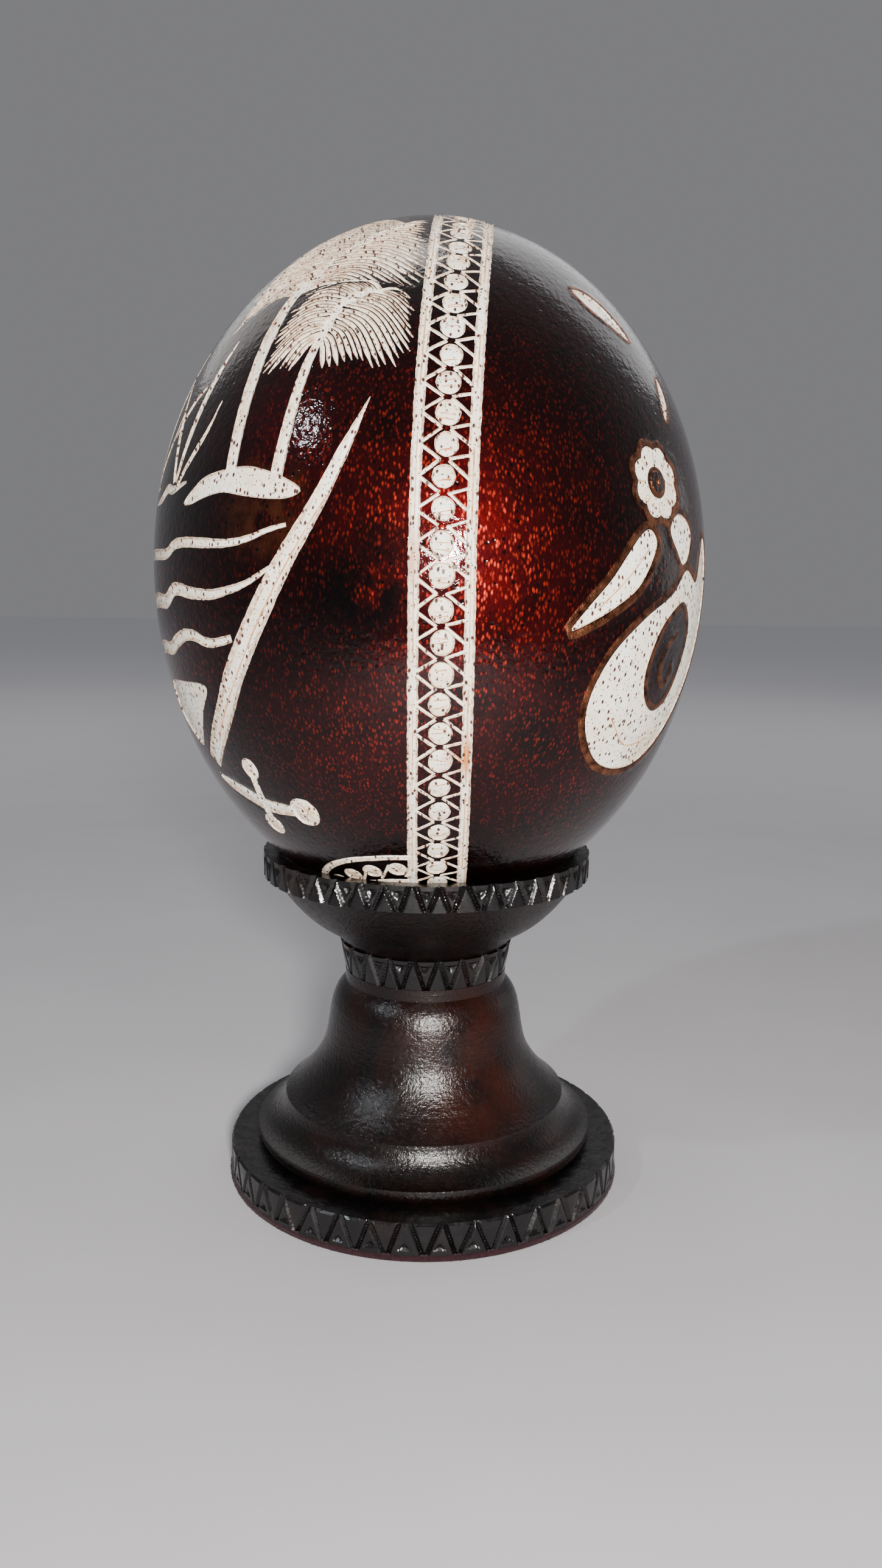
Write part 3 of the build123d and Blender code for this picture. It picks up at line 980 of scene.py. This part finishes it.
def turned_wood(name, gloss):
    """Stained and polished wood, with faint streaks along the grain, turning lines round it and a painted
    glow on the bell's front.
    """
    f = Finish(name, Specular_IOR_Level=0.4)
    grain = f.noise(5, 5, 0.65, f.stretched(0.18))
    tone = f.mix(f.band(grain, 0.38, 0.66), WOOD_DARK, WOOD_TONE)
    # Painted glow: an orange-red patch on the front of the bell, where a lamp near the camera would light
    # it.
    painted_glow = f.times(f.near((11, -23, 36), 24), f.cloud(13, 3, 0.32, 0.62))
    tone = f.mix(painted_glow, tone, WOOD_ORANGE_AND_GLOW)
    tone = f.mix(f.cloud(24, 3, 0.56, 0.74, 0, 0.25), tone, WOOD_ORANGE_AND_GLOW)
    rings = f.noise(0.8, 3, 0.6, f.stretched(1, 0.02))
    pores = f.band(f.cells(1.3, f.stretched(0.25)), 0.08, 0.2)
    f.set(Base_Color=f.mix(pores, (0.002, 0.001, 0.0006), tone),
          Roughness=f.cloud(1.4, 3, 0.3, 0.7, gloss, gloss + 0.14))
    f.bump(rings, 0.07, 0.9)
    f.bump(f.noise(0.9, 3, 0.65), 0.17, 1.0)
    f.bump(pores, 0.06, 0.5)
    return f.material


def carved_wood(name):
    f = Finish(name)
    worn = f.cloud(11, 4, 0.50, 0.72)
    tone = f.mix(worn, (0.0015, 0.0012, 0.0012), (0.006, 0.0022, 0.0015))
    f.set(Base_Color=tone, Roughness=f.cloud(2.5, 3, 0.35, 0.65, 0.17, 0.34), Specular_IOR_Level=0.5)
    f.bump(f.noise(0.8, 4, 0.6, f.stretched(0.5)), 0.10, 0.6)
    f.bump(f.noise(3.5, 2), 0.25, 0.5)
    return f.material


def felt():
    f = Finish("burgundy_felt", Roughness=0.95, Specular_IOR_Level=0.15, Sheen_Weight=0.08,
               Sheen_Roughness=0.6)
    matted = f.cloud(0.8, 4, 0.35, 0.65, rough=0.7)
    f.set(Base_Color=f.mix(matted, (0.008, 0.0015, 0.003), (0.026, 0.005, 0.009)))
    f.bump(f.noise(0.35, 3, 0.7), 0.15, 0.9)
    return f.material


def cork():
    f = Finish("pressed_cork", Roughness=0.85)
    grains = f.mix(f.band(f.cells(1.1), 0.2, 0.7), (0.50, 0.31, 0.16), (0.30, 0.16, 0.07))
    f.set(Base_Color=f.mix(f.cloud(2.4, 3, 0.6, 0.7), grains, (0.10, 0.05, 0.02)))
    f.bump(f.cells(1.1), 0.2, 0.7)
    return f.material


def raw_wood():
    f = Finish("beech_dowel", Roughness=0.6)
    grain = f.noise(1.6, 4, 0.6, f.stretched(0.08))
    f.set(Base_Color=f.mix(f.band(grain, 0.35, 0.65), (0.52, 0.33, 0.18), (0.66, 0.46, 0.27)))
    f.bump(grain, 0.08, 0.6)
    return f.material


STAIN_TONES = 1.6, 2, (0.42, 0.17, 0.06), (0.68, 0.44, 0.24)
GILT_TONES = 2.2, 4, (0.060, 0.018, 0.010), (0.40, 0.150, 0.070)
STEEL_TONES = 2, 3, (0.48, 0.47, 0.43), (0.63, 0.62, 0.58)


# ---- the egg

points, tris, finish = engraved(CUTS)
flat_ring = np.hypot(points[:, 0], points[:, 1])
ring = np.flatnonzero(np.abs(flat_ring - HOLE_RADIUS) < 0.02)
ring = ring[points[ring, 2] < EGG.middle]
ring = ring[np.argsort(np.arctan2(points[ring, 0], -points[ring, 1]) % (2 * math.pi))]
inner_points, inner_faces = lining(ring, len(points))
looks = [dyed_shell(), bare_shell(),
         mottled("copper_gold_paint", GILT_TONES, (0.6, 3, 0.20, 1.0), (1.5, 0.24, 0.45), Metallic=1.0),
         mottled("stained_cut", STAIN_TONES, (0.4, 2, 0.05, 0.5), Roughness=0.6), shaded_cut_wall()]
piece("engraved_egg", np.concatenate([points, inner_points]), [*tris, *inner_faces],
      np.r_[finish, np.full(len(inner_faces), BARE)], looks, "egg", ["egg_shell"])


# ---- the stand and what is inside it

def refinish(node, material):
    """Gives a CAD piece a better material."""
    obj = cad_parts[node]
    obj.data.materials.clear()
    obj.data.materials.append(material)
    obj.data.polygons.foreach_set("material_index", np.zeros(len(obj.data.polygons), np.int32))


FELT_SIDES = 360


def felt_piece(name, node, body, outline, closed, fibres, fringe):
    """A ring or disc of felt, cut from sheet and glued: a turned surface with a matted face, and loose
    fibres at its edges."""
    lowest = min(z for _, z in outline)
    rings = []
    for r, z in outline:
        fuzz = RANDOM.uniform(-0.07, 0.0, FELT_SIDES) * min(r, 1)
        sink = RANDOM.uniform(-0.05, 0.0, FELT_SIDES) * (z > lowest + 0.1)
        rings.append(round_z(circle(FELT_SIDES), r + fuzz, z + sink))
    faces = tube(len(rings), FELT_SIDES, closed)
    whole = piece(name, np.concatenate(rings), faces, 0, [BURGUNDY], body, [node])
    tufts, blades = [], []
    for _ in range(fibres):
        angle = RANDOM.uniform(0, 2 * math.pi)
        r, z = fringe[RANDOM.randint(len(fringe))]
        out = np.array([math.sin(angle), -math.cos(angle), 0])
        along = np.array([math.cos(angle), math.sin(angle), 0])
        root = out * (r - 0.15) + np.array([0, 0, z + RANDOM.uniform(-0.2, 0.2)])
        drift = along * RANDOM.uniform(-0.8, 0.8) + out * RANDOM.uniform(0.1, 0.42)
        drift[2] += RANDOM.uniform(-0.12, 0.2)
        first = len(tufts)
        tufts += [root, root + drift * 0.5 + np.array([0, 0, 0.06]), root + drift, root + along * 0.06]
        blades += [(first, first + 1, first + 3), (first + 1, first + 2, first + 3)]
    tufts = np.array(tufts)
    tufts[:, 2] = np.maximum(tufts[:, 2], lowest)
    loose = piece(name + "_fibres", tufts, blades, 0, [BURGUNDY], body, [])


class Groove:
    """A V cut across a ring's wall, from one (length round the wall, height) to another."""

    HALF, DEEP = 0.82, 0.85
    FOOT = 0.72  # share of the half width at its start
    OVERRUN = 0.2  # how far it runs on past each end, as a share of its length
    BLUNT = 0.06
    CHATTER = 0.05

    def __init__(self, ring, start, end):
        self.ring = ring
        self.start = np.array(start)
        self.line = np.array(end) - self.start
        self.half = self.HALF * RANDOM.uniform(0.85, 1.2)
        self.deep = self.DEEP * RANDOM.uniform(0.85, 1.1)

    def depth(self, along, height):
        x, y = round_the_wall(along, self.start[0], self.ring), height - self.start[1]
        size = np.hypot(*self.line)
        t = (x * self.line[0] + y * self.line[1]) / size ** 2
        gap = np.abs(x * self.line[1] - y * self.line[0]) / size
        reach = self.half * (self.FOOT + (1 - self.FOOT) * np.clip(t, 0, 1))
        ends = np.clip((self.BLUNT + t + self.OVERRUN) / self.OVERRUN, 0, 1)
        chatter = self.CHATTER * np.sin(t * size * 7.0 + self.start[0])
        there = (t > -self.OVERRUN) & (t < 1 + self.OVERRUN)
        return np.where(there, (self.deep + chatter) * ends * (1 - gap / reach), 0)


def round_the_wall(along, start, ring):
    """Lengths from a start, the shorter way round a ring."""
    return (along - start + ring / 2) % ring - ring / 2


CARVING_STEP = 0.24
CARVED_ROW, PLAIN_ROW = 0.32, 4.0
CARVED_DEEP = 2.2
NARROW_ENDS = 0.12
CHIP_DEEP, CHIP_HALF, CHIP_BACK, CHIP_FRONT = 0.7, 1.3, 0.8, 1.5


def carved_ring(name, node, outline, wall, periods, chip_height):
    """A ring with a zigzag of V cuts round its wall and a three-sided chip cut in every other triangle."""
    (r0, z0), (r1, z1) = wall
    ring = 2 * math.pi * (r0 + r1) / 2
    pitch = ring / periods
    cuts = []
    for i in range(periods):
        foot = (i + RANDOM.uniform(-0.06, 0.06)) * pitch
        for s in (-0.5, 0.5):
            head = foot + (s + RANDOM.uniform(-0.07, 0.07)) * pitch
            lean = s * NARROW_ENDS * pitch
            cuts.append(Groove(ring, (foot + lean, z0), (head - lean, z1)))
    upper = chip_height > (z0 + z1) / 2
    chips = [(i + (0.0 if upper else 0.5) + RANDOM.uniform(-0.05, 0.05)) * pitch for i in range(periods)]
    sides = int(ring / CARVING_STEP)
    along = circle(sides) * ring / (2 * math.pi)
    section = []
    for a, b in zip(outline, outline[1:] + outline[:1]):
        on_wall = max(a[0], b[0]) >= r0 and min(a[0], b[0]) > r0 - CARVED_DEEP
        count = max(int(math.dist(a, b) / (CARVED_ROW if on_wall else PLAIN_ROW)), 1)
        section += [[p + (q - p) * t / count for p, q in zip(a, b)] for t in range(count)]
    rows = []
    for r, z in section:
        cut = np.zeros(sides)
        if r > r0 - CARVED_DEEP:
            rise = (chip_height - z) if upper else (z - chip_height)
            for groove in cuts:
                cut = np.maximum(cut, groove.depth(along, z))
            for at in chips:
                slope = rise / CHIP_FRONT + np.abs(round_the_wall(along, at, ring)) / CHIP_HALF
                cut = np.maximum(cut, CHIP_DEEP * (1 - np.maximum(-rise / CHIP_BACK, slope)))
        edge = r0 + (r1 - r0) * np.clip((z - z0) / (z1 - z0), 0, 1)
        rows.append(round_z(circle(sides), np.minimum(r, edge - cut), z))
    piece(name, np.concatenate(rows), tube(len(rows), sides), 0, [carved_wood(name + "_wood")], "stand",
          [node])


COLLAR_BORE = 7.0
rim = [(39.7, 75.9), (39.7, 81.7)]
carved_ring("carved_rim", "rim_ring",
            [(31.78, 75.9), (37.6, 75.9), *rim, (37.6, 81.7), (36.2, 81.7), (36.2, 78.84)], rim, 42, 79.9)
collar = [(19.8, 51.4), (21.2, 58.8)]
carved_ring("carved_collar", "neck_collar",
            [(COLLAR_BORE, 51.4), (17.8, 51.4), *collar, (18.8, 58.8), (COLLAR_BORE, 58.8)],
            collar, 22, 57.0)
carved_ring("carved_base", "base_disc",
            [(4.0, 1.4), (46.4, 1.4), (48.5, 1.4), (48.5, 8.3), (48.0, 8.8), (46.4, 8.8),
             (2.2, 8.8), (2.2, 3.8)], [(48.5, 1.4), (48.5, 8.8)], 40, 3.2)

refinish("bell_pedestal", turned_wood("polished_bell", 0.19))
refinish("cup_bowl", turned_wood("polished_bowl", 0.3))
refinish("neck_dowel", raw_wood())
zinc = mottled("zinc_steel", STEEL_TONES, (0.4, 2, 0.03, 0.4), (0.7, 0.25, 0.45), Metallic=1.0)
refinish("base_screw", zinc)
refinish("blow_hole_bung", cork())

BURGUNDY = felt()
FELT_CORNER = 0.3
_, (edge, _, top) = box_mm("felt_pad")
face = [0.01, 10, 20, 30, 38, 44, 47, edge - FELT_CORNER]
wall = [(edge, z) for z in (FELT_CORNER, top / 2, top - FELT_CORNER)]
outline = [(r, 0.0) for r in face] + wall + [(r, top) for r in face[::-1]]
felt_piece("felt_under_base", "felt_pad", "stand", outline, False, 5200,
           [(edge, top * share) for share in (0.25, 0.5, 0.8)])

SEAT_INNER = 24.6
SEAT_THICK = 1.8
(_, _, bottom), (outer, _, top) = box_mm("seat_felt")
cone = np.linspace(0, 1, 7)
lower = [(SEAT_INNER + (outer - SEAT_INNER) * t, bottom + (top - SEAT_THICK - bottom) * t) for t in cone]
upper = [(r, z + SEAT_THICK) for r, z in lower[::-1]]
felt_piece("felt_seat_ring", "seat_felt", "egg_seat", lower + upper, True, 2400,
           [(outer, top - 0.3), (outer, top - 1.2)])


# ---- camera, floor and lights

lens = bpy.data.cameras.new("camera")
lens.sensor_fit = "VERTICAL"
lens.sensor_height = 36
lens.lens = 27
lens.clip_start = 0.01
lens.dof.use_dof = False
camera = show("camera", lens)
camera.location = (0, -0.28276, 0.14604)
camera.rotation_euler = (1.3997425, -0.0126822, -0.0094793)
bpy.context.scene.camera = camera


def lamp(name, place, target, size, watts, colour):
    light = bpy.data.lights.new(name, "AREA")
    light.shape = "DISK"
    light.size = size
    light.energy = watts
    light.color = colour
    obj = show(name, light)
    obj.location = place
    obj.rotation_euler = (Vector(target) - Vector(place)).to_track_quat("-Z", "Y").to_euler()


EGG_MIDDLE = (0, 0, 0.15)
lamp("overhead", (-0.1, 0.3, 1.2), EGG_MIDDLE, 0.35, 1.6, (1.0, 0.98, 0.95))
lamp("by_camera", (0.045, -0.42, 0.19), (0, 0, 0.11), 0.055, 4.6, (1.0, 0.96, 0.91))
lamp("window_left", (-0.66, -0.44, 0.72), EGG_MIDDLE, 0.05, 2.3, (0.86, 0.93, 1.0))
lamp("soft_right", (1.1, 0.5, 0.3), EGG_MIDDLE, 0.6, 0.6, (1.0, 0.97, 0.94))
lamp("behind_right", (0.5, 0.75, 0.95), EGG_MIDDLE, 0.9, 2.6, (0.97, 0.98, 1.0))
lamp("behind_left", (-0.5, 0.75, 0.95), EGG_MIDDLE, 0.9, 2.2, (1.0, 0.98, 0.95))

world = bpy.data.worlds.new("studio")
world.use_nodes = True
sky = world.node_tree.nodes["Background"].inputs
sky["Color"].default_value = (0.62, 0.62, 0.65, 1)
sky["Strength"].default_value = 0.34
bpy.context.scene.world = world

floor_mesh = bpy.data.meshes.new("floor")
corners = [(-4, -4, 0), (4, -4, 0), (4, 4, 0), (-4, 4, 0)]
floor_mesh.from_pydata(corners, [], [(0, 1, 2, 3)])
pale = Finish("pale_floor", Roughness=0.75)
cloth = pale.mix(pale.noise(60, 3), (0.39, 0.38, 0.40), (0.44, 0.43, 0.45))
# Painted light: the floor is painted almost white away from the stand, where the lamps light it little.
pale.set(Base_Color=pale.mix(pale.near((0, 0, 0), 1800), (0.92, 0.92, 0.96), cloth))
floor_mesh.materials.append(pale.material)
show("floor", floor_mesh)
